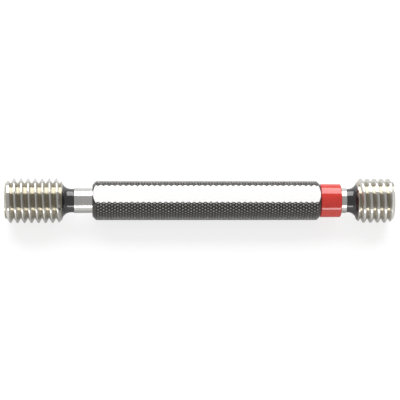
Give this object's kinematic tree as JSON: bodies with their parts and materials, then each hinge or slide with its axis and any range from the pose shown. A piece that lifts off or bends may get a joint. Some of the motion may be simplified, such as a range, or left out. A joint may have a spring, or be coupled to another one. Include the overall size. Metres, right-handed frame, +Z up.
{
  "type": "thread plug gauge",
  "caption": "Double-ended thread plug gauge: GO and NO-GO threaded members with taper shanks in a slim knurled handle with a marking flat, and a red ring at the NO-GO end.",
  "frame": {"origin": "below the middle of the gauge, on the surface that its GO thread crests lie on", "axes": "+X along the gauge from the GO end to the NO-GO end; +Z up, square to the marking flat"},
  "size_m": [0.0694, 0.008, 0.008],
  "materials": {
    "ground_steel": "ground bright on the threads and shanks, blackened on the necks",
    "knurled_steel": "fine diamond knurl with a dark patina, bright ground marking flat",
    "red_plastic": "glossy"
  },
  "bodies": {
    "root": {"go_member": "ground_steel", "no_go_member": "ground_steel", "handle": "knurled_steel", "no_go_ring": "red_plastic"}
  },
  "joints": []
}
